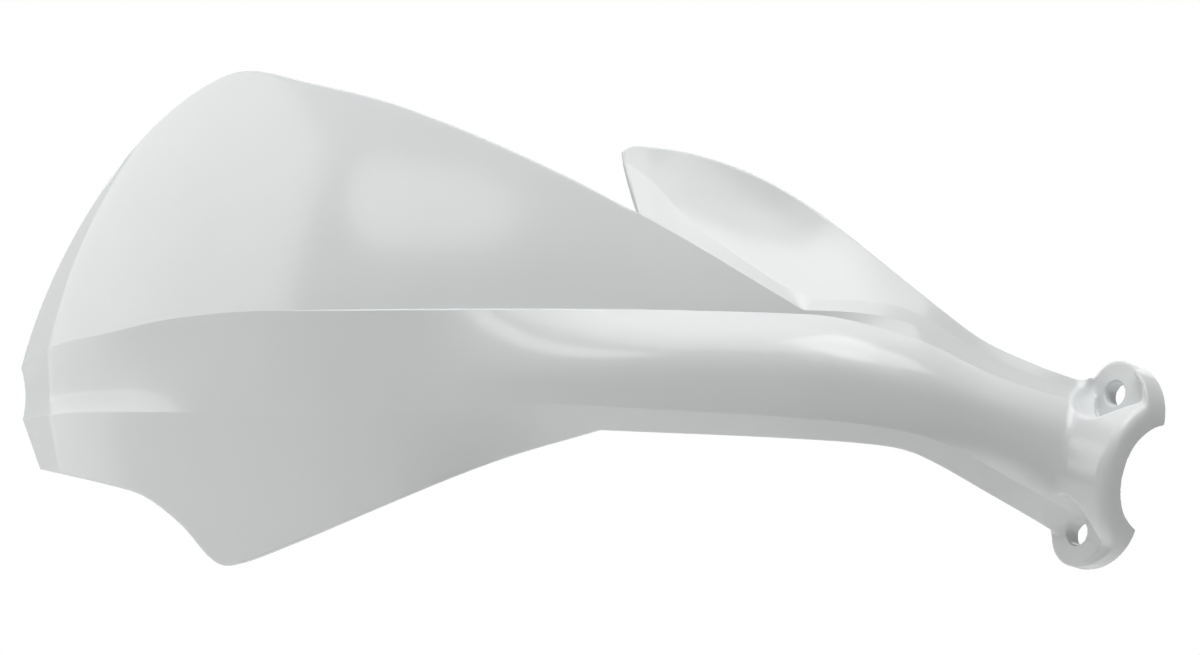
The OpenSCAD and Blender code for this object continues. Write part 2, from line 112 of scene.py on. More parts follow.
def curve(points, x):
    """Smooth curve through (x, y) points, straight on beyond its ends."""
    p = np.asarray(points, float)
    x = np.asarray(x, float)
    last = len(p) - 1
    before = np.maximum(np.arange(last + 1) - 1, 0)
    after = np.minimum(np.arange(last + 1) + 1, last)
    slope = (p[after, 1] - p[before, 1]) / (p[after, 0] - p[before, 0])
    k = np.clip(np.searchsorted(p[:, 0], x, side="right") - 1, 0, last - 1)
    h = p[k + 1, 0] - p[k, 0]
    t = (x - p[k, 0]) / h
    inside = (
        (2 * t**3 - 3 * t**2 + 1) * p[k, 1]
        + (t**3 - 2 * t**2 + t) * h * slope[k]
        + (3 * t**2 - 2 * t**3) * p[k + 1, 1]
        + (t**3 - t**2) * h * slope[k + 1]
    )
    low = p[0, 1] + slope[0] * (x - p[0, 0])
    high = p[last, 1] + slope[last] * (x - p[last, 0])
    return np.where(x < p[0, 0], low, np.where(x > p[last, 0], high, inside))


# ---------------------------------------------------------------- rails of the skin, as (x, height)

SHOULDER_X = mix(X_OUT, -PEAK_X, 0.44)
CORNER_X = X_OUT + 0.67 * END_TURN_W
TOP = [
    (SHOULDER_X, CREASE_H + 0.61 * BLADE_H),
    (mix(SHOULDER_X, -PEAK_X, 0.33), CREASE_H + 0.8 * BLADE_H),
    (mix(SHOULDER_X, -PEAK_X, 0.7), CREASE_H + 0.945 * BLADE_H),
    (-PEAK_X, PEAK_H),
    (mix(-PEAK_X, X_TIP, 0.1), CREASE_H + 0.957 * BLADE_H),
    (mix(-PEAK_X, X_TIP, 0.28), CREASE_H + 0.85 * BLADE_H),
    (mix(-PEAK_X, X_TIP, 0.53), CREASE_H + 0.61 * BLADE_H),
    (mix(-PEAK_X, X_TIP, 0.76), CREASE_H + 0.332 * BLADE_H),
    (X_TIP, CREASE_H),
]
CREASE = [
    (X_OUT, CREASE_END_H),
    (X_TURN, mix(CREASE_END_H, CREASE_H, 0.36)),
    (mix(X_OUT, -PEAK_X, 0.39), mix(CREASE_END_H, CREASE_H, 0.62)),
    (mix(X_OUT, -PEAK_X, 0.68), mix(CREASE_END_H, CREASE_H, 0.87)),
    (mix(X_OUT, -PEAK_X, 1.1), CREASE_H),
    (X_TIP, CREASE_H - 0.03 * CREASE_DROP),
    (0.65 * X_TIP, CREASE_H - 0.26 * CREASE_DROP),
    (0.38 * X_TIP, CREASE_H - 0.63 * CREASE_DROP),
    (0.15 * X_TIP, CREASE_H - 0.85 * CREASE_DROP),
    (0, CREASE_H - CREASE_DROP),
]
LOW_CREASE = [
    (X_OUT, 0.9 * LOWER_CREASE_H),
    (mix(X_OUT, -PEAK_X, 0.26), 1.035 * LOWER_CREASE_H),
    (mix(X_OUT, -PEAK_X, 1.26), LOWER_CREASE_H),
    (mix(-LOW_X, -ARM_X, 0.73), 1.05 * STRIP_H),
    (-ARM_X, STRIP_H),
    (mix(-ARM_X, -BEND_X, 0.62), STRIP_H - 0.09 * ROOT_DROP),
    (mix(-ARM_X, -BEND_X, 0.92), STRIP_H - 0.176 * ROOT_DROP),
    (-0.84 * BEND_X, STRIP_H - 0.31 * ROOT_DROP),
    (-0.6 * BEND_X, STRIP_H - 0.5 * ROOT_DROP),
    (-0.24 * BEND_X, STRIP_H - 0.79 * ROOT_DROP),
    (0, STRIP_H - 0.97 * ROOT_DROP),
]
SKIRT = [
    (CORNER_X, -CORNER_DROP),
    (mix(CORNER_X, -LOW_X, 0.34), -CORNER_DROP - 0.15 * LOW_DROP),
    (mix(CORNER_X, -LOW_X, 0.55), -CORNER_DROP - 0.28 * LOW_DROP),
    (mix(CORNER_X, -LOW_X, 0.75), -CORNER_DROP - 0.58 * LOW_DROP),
    (mix(CORNER_X, -LOW_X, 0.9), -0.93 * LOW_DROP),
    (-LOW_X, -LOW_DROP),
    (mix(-LOW_X, -ARM_X, 0.15), mix(-LOW_DROP, ARM_LOW_H, 0.14)),
    (mix(-LOW_X, -ARM_X, 0.46), mix(-LOW_DROP, ARM_LOW_H, 0.495)),
    (mix(-LOW_X, -ARM_X, 0.73), mix(-LOW_DROP, ARM_LOW_H, 0.78)),
    (-ARM_X, ARM_LOW_H),
]
ARM_LOW = [
    (-ARM_X, ARM_LOW_H),
    (mix(-ARM_X, -BEND_X, 0.56), ARM_LOW_H - 0.06 * ROOT_DROP),
    (mix(-ARM_X, -BEND_X, 0.88), ARM_LOW_H - 0.12 * ROOT_DROP),
    (-BEND_X, ARM_LOW_H - 0.2 * ROOT_DROP),
    (-0.58 * BEND_X, ARM_LOW_H - 0.545 * ROOT_DROP),
    (-0.3 * BEND_X, ARM_LOW_H - 0.78 * ROOT_DROP),
    (0, ARM_LOW_H - ROOT_DROP),
]
FOLD_TOP = FIN_H - 0.057 * FIN_DROP
FOLD = [
    (X_FIN - FIN_RAKE, FOLD_TOP),
    (mix(X_FIN, X_TIP, 0.1), mix(FOLD_TOP, CREASE_H + 2.4, 0.18)),
    (mix(X_FIN, X_TIP, 0.3), mix(FOLD_TOP, CREASE_H + 2.4, 0.44)),
    (mix(X_FIN, X_TIP, 0.67), mix(FOLD_TOP, CREASE_H + 2.4, 0.737)),
    (X_TIP, CREASE_H + 2.4),
]
FIN = [
    (X_FIN - FIN_RAKE, FIN_H - 0.024 * FIN_DROP),
    (X_FIN - 0.56 * FIN_RAKE, FIN_H - 0.003 * FIN_DROP),
    (X_FIN + 0.1 * FIN_RAKE, FIN_H),
    (mix(X_FIN, X_TIP, 0.33), FIN_H - 0.032 * FIN_DROP),
    (mix(X_FIN, X_TIP, 0.73), FIN_H - 0.126 * FIN_DROP),
    (0.96 * X_TIP, FIN_H - 0.265 * FIN_DROP),
    (0.8 * X_TIP, FIN_H - 0.425 * FIN_DROP),
    (0.555 * X_TIP, FIN_H - 0.672 * FIN_DROP),
    (0.42 * X_TIP, FIN_H - 0.797 * FIN_DROP),
    (0.256 * X_TIP, FIN_H - 0.894 * FIN_DROP),
    (0.124 * X_TIP, FIN_H - 0.953 * FIN_DROP),
    (0, FIN_H - FIN_DROP),
]
ARM_START_Y = -0.52 * ARM_FRONT
SPINE = [
    (X_OUT, SWEEP_END),
    (mix(-REACH, -ARM_X, 0.093), mix(SWEEP_END, ARM_START_Y, 0.185)),
    (mix(-REACH, -ARM_X, 0.226), mix(SWEEP_END, ARM_START_Y, 0.39)),
    (mix(-REACH, -ARM_X, 0.392), mix(SWEEP_END, ARM_START_Y, 0.59)),
    (mix(-REACH, -ARM_X, 0.558), mix(SWEEP_END, ARM_START_Y, 0.75)),
    (mix(-REACH, -ARM_X, 0.724), mix(SWEEP_END, ARM_START_Y, 0.88)),
    (mix(-REACH, -ARM_X, 0.891), ARM_START_Y),
    (mix(-ARM_X, X_TIP, 0.16), -0.77 * ARM_FRONT),
    (mix(-ARM_X, X_TIP, 0.63), -0.94 * ARM_FRONT),
    (X_TIP, -ARM_FRONT),
    (0.684 * X_TIP, -0.9 * ARM_FRONT),
    (0.41 * X_TIP, mix(-ARM_FRONT, -ROOT_FRONT, 0.6)),
    (0.15 * X_TIP, -ROOT_FRONT),
    (0, -0.69 * ROOT_FRONT),
]


def spine(x):
    return curve(SPINE, x)


def z_low(x):
    return np.where(x < -ARM_X, curve(SKIRT, x), curve(ARM_LOW, x))


def z_low_crease(x):
    return curve(LOW_CREASE, x)


def z_crease(x):
    return curve(CREASE, x)


def z_fin(x):
    return curve(FIN, x)


def armness(x):
    return ease(mix(-LOW_X, -ARM_X, 0.124), mix(-LOW_X, -ARM_X, 1.224), x)


def band_armness(x):
    """The strip below the crease turns into the arm a little later than the shield above it."""
    return ease(mix(-LOW_X, -ARM_X, 0.311), mix(-LOW_X, -ARM_X, 1.266), x)


def arm_power(x):
    """Power of the arm's round section: fuller towards the clamp than the CAD part's even 2."""
    return mix(1.8, 2.8, ease(-1.15 * ARM_X, 1.3 * X_TIP, x))


def round_mid(x):
    return mix(0.28, 0.5, ease(-1.2 * BEND_X, -0.5 * BEND_X, x))


def full_round(x):
    return ARM_ROUND * mix(1, 0.55, ease(-1.4 * BEND_X, -0.2 * BEND_X, x))


def round_depth(x):
    return full_round(x) * armness(x)


def past_tip(x):
    return ease(X_TIP, 0.44 * X_TIP, x)


def z_lip(x):
    beyond = mix(z_crease(x) + 1, mix(z_crease(x), z_fin(x), 0.35), past_tip(x))
    return np.where(x < X_TIP, np.maximum(curve(TOP, x), z_crease(x) + 1), beyond)


def z_fold(x):
    beyond = mix(z_lip(x) + 2.2, mix(z_crease(x), z_fin(x), 0.55), past_tip(x))
    return np.where(x < X_TIP, np.maximum(curve(FOLD, x), z_lip(x) + 1.4), beyond)


def y_low_crease(x):
    w = round_mid(x)
    return mix(BAND_LEAN, full_round(x) * (w / (1 - w)) ** arm_power(x), band_armness(x))


def y_low(x):
    m = ease(mix(-LOW_X, -ARM_X, 0.43), -ARM_X, x)
    return y_low_crease(x) + mix(0.17, STRIP_SLOPE, m) * (z_low_crease(x) - z_low(x))


def y_blade(x, h):
    return round_depth(x) + BLADE_LEAN * h + BLADE_BOW * (h / BLADE_H) ** 2


def y_lip(x):
    rise = z_lip(x) - z_crease(x)
    return mix(y_blade(x, rise), round_depth(x) + 0.95 * rise, past_tip(x))


def y_fold(x):
    return y_lip(x) + mix(SHELF_SLOPE, 0.85, past_tip(x)) * (z_fold(x) - z_lip(x))


def y_fin(x, h):
    return y_fold(x) + FIN_LEAN * h * (1 - 0.64 * h / FIN_DROP)


def turned(e):
    return END_TURN * np.maximum(0, END_TURN_W - e)


def near_end(x, widths, n):
    return fade(X_OUT, X_OUT + widths * END_TURN_W, x, n)


def low_crease_x(x):
    return x + 0.05 * END_TURN_W * near_end(x, 2.7, 2)


def skirt_at(x, s):
    xb = x + (CORNER_X - X_OUT) * near_end(x, 5.3, 2)
    xl = low_crease_x(x)
    xx = mix(xb, xl, s)
    y = spine(xx) + mix(y_low(xb), y_low_crease(xl), s) + turned(x - X_OUT)
    return np.stack([xx, y, mix(z_low(xb), z_low_crease(xl), s)], -1)


def band_depth(x, s):
    """Depth of the strip between the two creases behind the spine."""
    w = round_mid(x)
    scoop = SCOOP * (1 - ease(X_OUT + 0.45 * SCOOP_LEN, X_OUT + SCOOP_LEN, x))
    shield = mix(BAND_LEAN, 0, s) + scoop * 6.75 * s * (1 - s) * (1 - s)
    arm = full_round(x) * (np.abs(s - w) / (1 - w)) ** arm_power(x)
    return mix(shield, arm, band_armness(x))


def band_at(x, s):
    xl = low_crease_x(x)
    xx = mix(xl, x, s) + 0.48 * END_TURN_W * s * (1 - s) * near_end(x, 2, 1)
    y = spine(xx) + band_depth(x, s) + turned(x - X_OUT)
    return np.stack([xx, y, mix(z_low_crease(xl), z_crease(x), s)], -1)


def blade_at(x, s):
    xt = x + (SHOULDER_X - X_OUT) * near_end(x, 16, 3.2)
    xx = mix(x, xt, s) - END_BULGE * 4 * s * (1 - s) * near_end(x, 12, 2)
    z = mix(z_crease(x), z_lip(xt), s)
    y = mix(
        y_blade(xx, z - z_crease(x)),
        mix(round_depth(x), y_lip(x), s),
        ease(1.15 * X_TIP, X_TIP, x),
    )
    return np.stack([xx, spine(xx) + y + turned(x - X_OUT) * (1 - s), z], -1)


def fin_back(x):
    return FIN_RAKE * fade(X_FIN, mix(X_FIN, X_TIP, 0.6), x, 2)


def shelf_at(x, s):
    xg = x - 0.9 * fin_back(x)
    xx = mix(x, xg, s)
    y = spine(xx) + mix(y_lip(x), y_fold(x), s)
    return np.stack([xx, y, mix(z_lip(x), z_fold(xg), s)], -1)


def fin_at(x, s):
    xg = x - 0.9 * fin_back(x)
    xf = x - fin_back(x)
    z0 = z_fold(xg)
    xx = mix(xg, xf, s)
    z = mix(z0, z_fin(xf), s)
    return np.stack([xx, spine(xx) + y_fin(x, z - z0), z], -1)


# ---------------------------------------------------------------- grid of the skin

# The strips from the lower edge upwards, with their numbers of rows
STRIPS = [(skirt_at, 18), (band_at, 44), (blade_at, 40), (shelf_at, 9), (fin_at, 28)]
J_CREASE, J_LIP, J_FOLD, J_TOP = np.cumsum([n for _, n in STRIPS])[1:].tolist()
# Numbers of columns: the turned end, the shield, the fin's part of it, the arm, and the foot
N_END, N_SHIELD, N_FIN, N_ARM, N_FOOT = 8, 120, 40, 52, 24

SEAM_X = -32.0         # shell and foot meet here, and run on inside each other
SHELL_END_X = -28.5
FOOT_START_X = SEAM_X - 1.6
SEAM_HALF, SEAM_SINK = 0.6, 0.05   # this far past the seam each lies this deep in the other

stations = np.concatenate([
    np.linspace(X_OUT, X_TURN, N_END + 1)[:-1],
    np.linspace(X_TURN, X_FIN, N_SHIELD + 1)[:-1],
    np.linspace(X_FIN, X_TIP, N_FIN + 1)[:-1],
    np.linspace(X_TIP, SHELL_END_X, N_ARM + 1)[:-1],
    np.linspace(SHELL_END_X, X_ROOT, N_FOOT + 1),
])
I_FIN = N_END + N_SHIELD
I_SHELL = I_FIN + N_FIN + N_ARM


def strip_share(n):
    """Shares along a strip, closer together at its two creases."""
    u = np.linspace(0, 1, n + 1)
    return mix(u, 0.5 - 0.5 * np.cos(math.pi * u), 0.55)


def length(v):
    return np.sqrt((v * v).sum(-1))


def skin_grid():
    """Points of the front skin, and the true edge beyond each point of its rim."""
    x1 = stations[:, None]
    radius = np.full(len(stations), EDGE_R)
    lip_r = EDGE_R * clip((X_FIN - stations) / 3.0)
    lip_r[I_FIN:] = 0
    rows, edge_rows = [], []
    for number, (at, n) in enumerate(STRIPS):
        u = strip_share(n)
        # Rows close to the crease keep its edge crisp
        if number == 1:
            u[-2] = 1 - 0.2 / (CREASE_H - LOWER_CREASE_H)
        if number == 2:
            u[1:3] = 0.1 / BLADE_H, 0.35 / BLADE_H
        u = u[None, :]
        span = length(at(x1, np.ones_like(x1)) - at(x1, np.zeros_like(x1)))
        low = radius[:, None] / span if number == 0 else np.zeros_like(span)
        high = np.zeros_like(span)
        if number == 2:
            high = lip_r[:, None] / span
        if number == 4:
            high = radius[:, None] / span
        s = low + (1 - low - high) * u
        first = 0 if number == 0 else 1
        rows.append((at, s[:, first:]))
        edge_s = s.copy()
        if number == 0:
            edge_s[:, 0] = 0
        edge_s[:, -1] = 1
        edge_rows.append(edge_s[:, first:])
    share = np.concatenate([s for _, s in rows], 1)
    edge_share = np.concatenate(edge_rows, 1)
    bounds = np.cumsum([0] + [s.shape[1] for _, s in rows])

    def build(x, s):
        parts = [at(x[:, a:b], s[:, a:b]) for (at, _), a, b in zip(rows, bounds[:-1], bounds[1:])]
        return np.concatenate(parts, 1)

    x = np.repeat(x1, share.shape[1], 1)
    # The outer end and the fin's free edge are set back by the radius of the edge
    step = length(build(x[:1] + 0.5, share[:1]) - build(x[:1], share[:1])) / 0.5
    set_back = np.minimum(EDGE_R / step, 3.0)
    t = np.arange(N_END + 1)[:, None] / N_END
    x[:N_END + 1] = mix(X_OUT + set_back, X_TURN, t)
    ramp = clip((np.arange(J_TOP + 1) - J_LIP) / 6.0)
    x[I_FIN] = X_FIN + EDGE_R * ramp
    edge_x = x.copy()
    edge_x[0] = X_OUT
    edge_x[I_FIN, J_LIP:] = X_FIN
    inner = build(x, share)
    # Where the fin stands on it, the lip is inside the sheet and has no edge
    edge_share[I_FIN:, J_LIP] = share[I_FIN:, J_LIP]
    return inner, build(edge_x, edge_share)


def smooth_fin(front, edge):
    """Takes the kink out of the fin where the shield's tip meets the arm."""
    x = stations
    weight = np.exp(-0.5 * ((x[:, None] - x[None, :]) / FIN_BLEND) ** 2) * np.gradient(x)[None, :]
    weight[:, :I_FIN] = 0
    weight /= np.maximum(weight.sum(1, keepdims=True), 1e-9)
    window = ease(X_FIN + 4, X_TIP - 12, x) * (1 - ease(X_TIP + 14, X_TIP + 34, x))
    window[:I_FIN] = 0
    ramp = ease(J_LIP, J_FOLD, np.arange(J_TOP + 1))
    share = window[:, None] * ramp[None, :]
    for axis in (1, 2):
        shift = (weight @ front[..., axis] - front[..., axis]) * share
        front[..., axis] += shift
        edge[..., axis] += shift


front, edge = skin_grid()
smooth_fin(front, edge)


def inward_directions():
    """Inward direction of the wall, averaged along each column over a few millimetres."""
    di = np.gradient(front, axis=0)
    dj = np.gradient(front, axis=1)
    # No step across the fin's free edge
    di[I_FIN, J_LIP + 1:] = front[I_FIN + 1, J_LIP + 1:] - front[I_FIN, J_LIP + 1:]
    n = np.cross(dj, di)
    n /= np.maximum(length(n), 1e-12)[..., None]
    steps = length(np.diff(front, axis=1))
    along = np.concatenate([np.zeros((len(stations), 1)), np.cumsum(steps, 1)], 1)
    share = np.gradient(along, axis=1)
    upper = np.ones_like(share)
    upper[:I_FIN, J_LIP + 1:] = ease(X_FIN - 14, X_FIN, stations[:I_FIN])[:, None]
    apart = (along[:, :, None] - along[:, None, :]) / WALL_BLEND
    weight = np.exp(-0.5 * apart**2) * (share * upper)[:, None, :]
    smooth = np.einsum("ijk,ikc->ijc", weight, n)
    smooth /= np.maximum(length(smooth), 1e-12)[..., None]
    # At the shoulder the end runs straight on into the top edge, so the grid has no angle to
    # measure there and takes the direction of the points round it
    known = smooth[10, J_LIP] + smooth[0, J_LIP - 12]
    near = 1 - ease(3, 11, np.arange(len(stations)))
    share = near[:, None] * (ease(J_LIP - 13, J_LIP - 5, np.arange(J_TOP + 1)))[None, :]
    smooth = mix(smooth, known / length(known), share[..., None])
    return smooth / np.maximum(length(smooth), 1e-12)[..., None]


inward = inward_directions()
thickness = mix(WALL, ROOT_WALL, ease(-0.92 * BEND_X, -0.28 * BEND_X, stations))[:, None, None]
back = front + thickness * inward


# ---------------------------------------------------------------- meshes

def mesh_object(name, vertices, faces, normals=None):
    mesh = bpy.data.meshes.new(name)
    mesh.from_pydata(((np.asarray(vertices) + SET_BACK) * 0.001).tolist(), [], faces)
    mesh.polygons.foreach_set("use_smooth", np.ones(len(mesh.polygons), bool))
    mesh.validate()
    mesh.update()
    if normals is not None:
        mesh.normals_split_custom_set_from_vertices(normals.tolist())
    piece = bpy.data.objects.new(name, mesh)
    bpy.context.scene.collection.objects.link(piece)
    return piece


def vertex_normals(v, quads):
    """Outward normals of a closed mesh of quads, by area."""
    q = np.asarray(quads)
    n = np.cross(v[q[:, 2]] - v[q[:, 0]], v[q[:, 3]] - v[q[:, 1]])
    total = np.zeros_like(v)
    for c in range(4):
        np.add.at(total, q[:, c], n)
    return total / np.maximum(length(total), 1e-12)[:, None]


ARC = 4                # steps round each rounded edge of the rim
NO_EDGE = 0.04         # a rim point closer than this to its edge stays flat


def build_shell():
    """The sheet from the outer end to the seam, closed round its rim by a rounded edge."""
    last = I_SHELL
    number = -np.ones((2, last + 1, J_TOP + 1), int)
    vertices = []
    for side, grid in enumerate((front, back)):
        for i in range(last + 1):
            top = J_LIP if i < I_FIN else J_TOP
            number[side, i, : top + 1] = len(vertices) + np.arange(top + 1)
            vertices.extend(grid[i, : top + 1])
    quads = []
    for i in range(last):
        top = J_LIP if i < I_FIN else J_TOP
        for j in range(top):
            for side in (0, 1):
                a, d = number[side, i, j:j + 2]
                b, c = number[side, i + 1, j:j + 2]
                quads.append((a, d, c, b) if side else (a, b, c, d))
    rim = (
        [(i, 0) for i in range(last)]
        + [(last, j) for j in range(J_TOP)]
        + [(i, J_TOP) for i in range(last, I_FIN, -1)]
        + [(I_FIN, j) for j in range(J_TOP, J_LIP, -1)]
        + [(i, J_LIP) for i in range(I_FIN, 0, -1)]
        + [(0, j) for j in range(J_LIP, 0, -1)]
    )
    rings = []
    for i, j in rim:
        p, q, n = front[i, j], edge[i, j], inward[i, j]
        out = q - p
        reach = max(length(out), NO_EDGE)
        if i == last or length(out) < NO_EDGE:
            out = 0.0 * out
        r = min(reach, EDGE_R)
        t = float(thickness[i, 0, 0])
        ring = [number[0, i, j]]
        for k in range(1, ARC + 1):
            a = 0.5 * math.pi * k / ARC
            ring.append(len(vertices))
            vertices.append(p + out * math.sin(a) + n * r * (1 - math.cos(a)))
        for k in range(ARC, 0, -1):
            a = 0.5 * math.pi * k / ARC
            ring.append(len(vertices))
            vertices.append(p + out * math.sin(a) + n * (t - r * (1 - math.cos(a))))
        ring.append(number[1, i, j])
        rings.append(ring)
    for k, ring in enumerate(rings):
        following = rings[(k + 1) % len(rings)]
        for m in range(len(ring) - 1):
            quads.append((ring[m], ring[m + 1], following[m + 1], following[m]))
    v = np.array(vertices)
    n = vertex_normals(v, quads)
    # Past the seam the shell runs on inside the foot of the arm
    sink = SEAM_SINK * np.maximum(0, (v[:, 0] - SEAM_X + SEAM_HALF) / (2 * SEAM_HALF))
    return mesh_object("guard_shell", v - n * sink[:, None], quads, n)


shell = build_shell()


# ---------------------------------------------------------------- foot of the arm, half clamp

def soft_min(a, b, k):
    h = np.maximum(k - np.abs(a - b), 0) / k
    return np.minimum(a, b) - h * h * k * 0.25


def soft_max(a, b, k):
    return -soft_min(-a, -b, k)


def round_max(a, b, r):
    """Both conditions at once, with the edge between them rounded by a true radius."""
    out = np.sqrt(np.maximum(a + r, 0) ** 2 + np.maximum(b + r, 0) ** 2)
    return out + np.minimum(np.maximum(a, b), -r)


RAIL_X = np.arange(-40.0, 16.0, 0.05)
RAILS = {
    f.__name__: f(RAIL_X)
    for f in (z_low, z_low_crease, z_crease, z_lip, z_fold, spine, y_low, y_low_crease,
              round_depth, round_mid, y_lip, y_fold)
}


def rail(name, x):
    """Value of a rail at x, from its fine table over the foot of the arm."""
    return np.interp(x, RAIL_X, RAILS[name])


def front_depth(x, z):
    """Depth of the arm's front face at a height; holds inboard of the shield's tip."""
    low, low_crease, crease, lip, fold = (
        rail(n, x) for n in ("z_low", "z_low_crease", "z_crease", "z_lip", "z_fold"))
    deep, w = rail("round_depth", x), rail("round_mid", x)
    at_lip, at_fold = rail("y_lip", x), rail("y_fold", x)
    s = (z - low_crease) / (crease - low_crease)
    y = deep * (np.abs(s - w) / (1 - w)) ** arm_power(x)
    low_y = mix(rail("y_low", x), rail("y_low_crease", x), (z - low) / (low_crease - low))
    y = np.where(z < low_crease, low_y, y)
    y = np.where(z > crease, mix(deep, at_lip, (z - crease) / (lip - crease)), y)
    y = np.where(z > lip, mix(at_lip, at_fold, (z - lip) / (fold - lip)), y)
    h = z - fold
    y = np.where(z > fold, at_fold + FIN_LEAN * h * (1 - 0.64 * h / FIN_DROP), y)
    return rail("spine", x) + y


# Back of the wall, and both edges with their inward directions, as tables over x
I_TABLE = I_SHELL - 12
TABLE_X = stations[I_TABLE:]
TABLE_STEP = 0.25
TABLE_Z = np.arange(-40.0, 60.0, TABLE_STEP)


def back_by_height():
    """Depth of the wall's back over TABLE_X and TABLE_Z, from its columns near the foot."""
    columns = [c[np.argsort(c[:, 2])] for c in back[I_TABLE - 12:]]
    along = np.array([np.interp(TABLE_Z, c[:, 2], c[:, 0]) for c in columns])
    depth = np.array([
        np.interp(TABLE_Z, c[:, 2], c[:, 1]) + 0.3 * np.maximum(0, TABLE_Z - c[-1, 2])
        for c in columns
    ])
    rows = []
    for k in range(len(TABLE_Z)):
        order = np.argsort(along[:, k])
        rows.append(np.interp(TABLE_X, along[order, k], depth[order, k]))
    return np.array(rows).T


back_table = back_by_height()


def table_value(table, x, z):
    u = np.interp(x, TABLE_X, np.arange(len(TABLE_X)))
    v = np.clip((z - TABLE_Z[0]) / TABLE_STEP, 0, len(TABLE_Z) - 1.001)
    i, j = np.minimum(u.astype(int), len(TABLE_X) - 2), v.astype(int)
    a, b = u - i, v - j
    low = table[i, j] * (1 - b) + table[i, j + 1] * b
    high = table[i + 1, j] * (1 - b) + table[i + 1, j + 1] * b
    return low * (1 - a) + high * a


def edge_plane(x, y, z, row, sign):
    """Distance beyond the rim's flat side, which runs back along the wall's inward direction."""
    column = slice(I_TABLE, None)
    py = np.interp(x, TABLE_X, edge[column, row, 1])
    pz = np.interp(x, TABLE_X, edge[column, row, 2])
    ny = np.interp(x, TABLE_X, inward[column, row, 1])
    nz = np.interp(x, TABLE_X, inward[column, row, 2])
    size = np.sqrt(ny * ny + nz * nz)
    return sign * ((y - py) * -nz + (z - pz) * ny) / size


def arm_foot(x, y, z):
    """Distance-like value of the arm's wall inboard of the seam: negative inside."""
    d = 0.1
    y0 = front_depth(x, z)
    gx = (front_depth(x + d, z) - y0) / d
    gz = (front_depth(x, z + d) - front_depth(x, z - d)) / (2 * d)
    flat = 1 / np.sqrt(1 + gx * gx + gz * gz)
    before = (y0 - y) * flat
    behind = (y - table_value(back_table, x, z)) * flat
    low = edge_plane(x, y, z, 0, -1.0)
    high = edge_plane(x, y, z, J_TOP, 1.0)
    edges = np.maximum(low, high)
    return np.maximum(round_max(before, edges, EDGE_R), round_max(behind, edges, EDGE_R))


def local_axes(x, y, z):
    return [BAR_AXIS[0] * x + BAR_AXIS[1] * y + BAR_AXIS[2] * z,
            BOLT_AXIS[0] * x + BOLT_AXIS[1] * y + BOLT_AXIS[2] * z,
            LUG_AXIS[0] * x + LUG_AXIS[2] * z]


def clamp_outline(b, h):
    """Outline of the clamp seen along the bolts: round inboard, narrow lugs outboard."""
    w = CLAMP_W / 2
    h = np.abs(h)
    centre = LUG_H - w
    inboard = np.where(h > centre, np.hypot(b, h - centre) - w, b - w)
    cy = LUG_H - LUG_SIDE
    lift = cy - FLANK_H
    a = math.atan2(lift, w) + math.asin(LUG_SIDE / math.hypot(w, lift))
    ca, sa = math.cos(a), math.sin(a)
    run = math.sqrt(w * w + lift * lift - LUG_SIDE * LUG_SIDE)
    tb, th = -w + run * ca, FLANK_H + run * sa
    flank = -sa * (b + w) + ca * (h - FLANK_H)
    tip = np.hypot(b, h - cy) - LUG_SIDE
    outboard = np.where(ca * (b - tb) + sa * (h - th) > 0, tip, np.maximum(flank, -w - b))
    return np.where(b > 0, inboard, outboard)


def polygon_distance(points, x, y):
    p = np.asarray(points, float)
    q = np.roll(p, -1, axis=0)
    best = np.full(x.shape, 1e9)
    inside = np.zeros(x.shape, bool)
    for (ax, ay), (bx, by) in zip(p, q):
        ex, ey = bx - ax, by - ay
        t = np.clip(((x - ax) * ex + (y - ay) * ey) / (ex * ex + ey * ey), 0, 1)
        best = np.minimum(best, np.hypot(x - ax - t * ex, y - ay - t * ey))
        crosses = ((ay > y) != (by > y)) & (x < ax + (y - ay) * ex / (ey if ey else 1e-9))
        inside ^= crosses
    return np.where(inside, -best, best)


# Reach of the soft edges: the drum's and its block's, the seats', the pocket's rim, the join
# with the arm, the split face, and the saddle's and the holes'
SOFT_DRUM, SOFT_SEAT, SOFT_POCKET, SOFT_JOIN, SOFT_SPLIT, SOFT_HOLE = 0.8, 1.0, 1.3, 1.6, 0.5, 0.4
R = UPPER_SEAT_R
POCKET = [
    (0, -R), (0.71 * R, -0.71 * R), (POCKET_REACH, 0), (0.89 * POCKET_REACH, 0.4 * LUG_END),
    (0.72 * R, 0.72 * LUG_END), (0.5 * R, 1.3 * LUG_END), (-R, 1.3 * LUG_END), (-R, 0),
]


